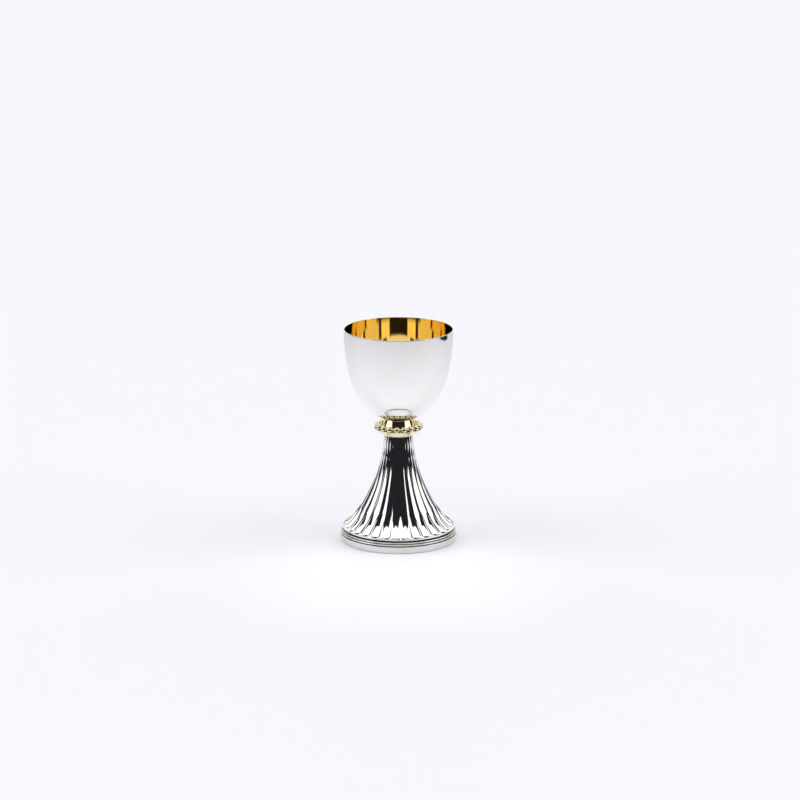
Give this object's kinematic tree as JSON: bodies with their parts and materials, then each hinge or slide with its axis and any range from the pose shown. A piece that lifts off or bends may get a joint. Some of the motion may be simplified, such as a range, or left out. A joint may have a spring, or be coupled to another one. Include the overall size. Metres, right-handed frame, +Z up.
{
  "type": "communion chalice",
  "caption": "Egg-shaped silver drinking bowl, gilt inside, on a beaded gilt knop and a fluted trumpet foot with a plain base band, held together by a stud and nut.",
  "frame": {"origin": "centre of the foot's underside, on the table", "axes": "+Z up along the chalice's axis, towards the lip; -Y is the front"},
  "size_m": [0.0878, 0.0878, 0.16],
  "materials": {
    "silver": "mirror-polished silver plate; the bowl is gilt inside",
    "gilt": "polished gilding",
    "brass": "turned, unpolished, hidden inside",
    "steel": "plain stainless, hidden inside"
  },
  "bodies": {
    "root": {"cup": "silver", "cup_boss": "brass", "stud": "steel", "knop_upper": "gilt", "knop_band": "gilt", "knop_beads": "gilt", "knop_lower": "gilt", "knop_core": "brass", "foot": "silver", "stem_plate": "brass", "foot_wire": "silver", "foot_moulding": "silver", "foot_rim": "silver", "foot_hoop": "silver"},
    "washer": {"washer": "steel"},
    "nut": {"nut": "brass"}
  },
  "joints": [
    {"name": "washer_drop", "type": "slide", "parent": "root", "child": "washer", "axis": [0, 0, -1], "range_m": [0, 0.009]},
    {"name": "nut_turn", "type": "hinge", "parent": "washer", "child": "nut", "pos_m": [0, 0, 0.075], "axis": [0, 0, -1], "range_deg": [0, 3241]}
  ],
  "couplings": [
    {"joint": "nut_turn", "follows": "washer_drop", "rad_per_m": 6283.2}
  ]
}
